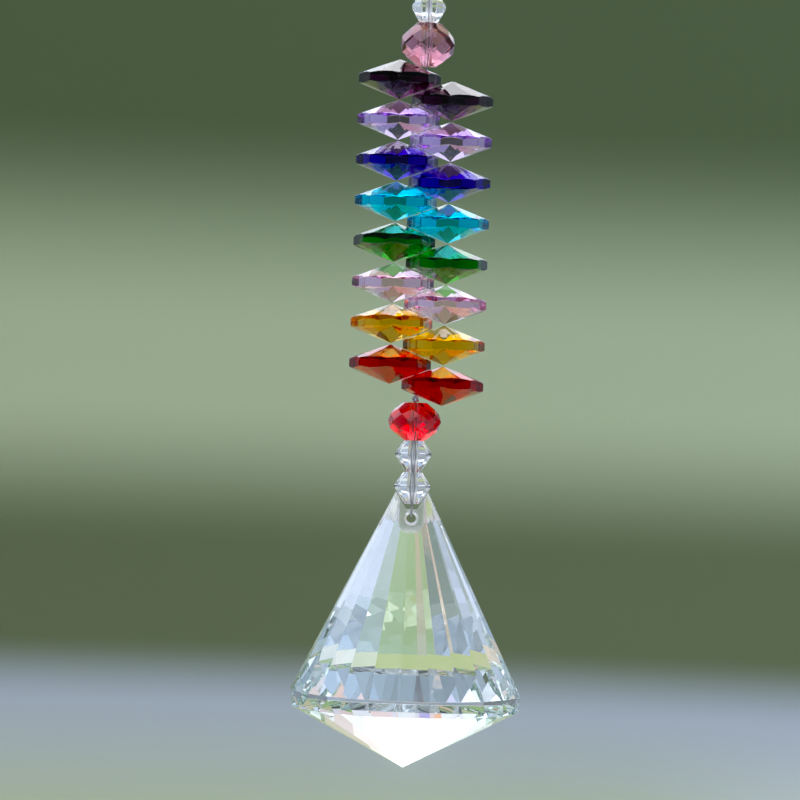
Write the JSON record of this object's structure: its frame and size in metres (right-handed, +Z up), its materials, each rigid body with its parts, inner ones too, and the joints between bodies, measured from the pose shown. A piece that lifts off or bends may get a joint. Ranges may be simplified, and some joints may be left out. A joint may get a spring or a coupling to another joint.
{
  "type": "crystal suncatcher",
  "caption": "Hanging suncatcher: coloured octagon crystals stacked left and right on a beading wire, with faceted rondelles and bicones above a clear many-sided cone pendant.",
  "frame": {"origin": "inside top of the wire's hanging loop, where it bears on its hook", "axes": "+Z up along the hanging strand, +X to the right bead of each pair, +Y along the pendant's hole, away from the viewer"},
  "size_m": [0.0424, 0.0424, 0.1566],
  "materials": {
    "clear_crystal": "polished facets",
    "mauve_crystal": "polished facets",
    "purple_crystal": "polished facets",
    "lilac_crystal": "polished facets",
    "blue_crystal": "polished facets",
    "aqua_crystal": "polished facets",
    "green_crystal": "polished facets",
    "pink_crystal": "polished facets",
    "gold_crystal": "polished facets",
    "red_crystal": "polished facets",
    "beading_wire": "fine twisted steel",
    "crimp": "bright plated"
  },
  "bodies": {
    "root": {"beading_wire": "beading_wire", "top_crimp": "crimp", "top_bicone": "clear_crystal", "mauve_rondelle": "mauve_crystal", "octagon_purple_left": "purple_crystal", "octagon_purple_right": "purple_crystal", "octagon_lilac_left": "lilac_crystal", "octagon_lilac_right": "lilac_crystal", "octagon_blue_left": "blue_crystal", "octagon_blue_right": "blue_crystal", "octagon_aqua_left": "aqua_crystal", "octagon_aqua_right": "aqua_crystal", "octagon_green_left": "green_crystal", "octagon_green_right": "green_crystal", "octagon_pink_left": "pink_crystal", "octagon_pink_right": "pink_crystal", "octagon_gold_left": "gold_crystal", "octagon_gold_right": "gold_crystal", "octagon_red_left": "red_crystal", "octagon_red_right": "red_crystal", "lower_crimp": "crimp", "red_rondelle": "red_crystal", "upper_bicone": "clear_crystal", "lower_bicone": "clear_crystal", "pendant": "clear_crystal"}
  },
  "joints": []
}
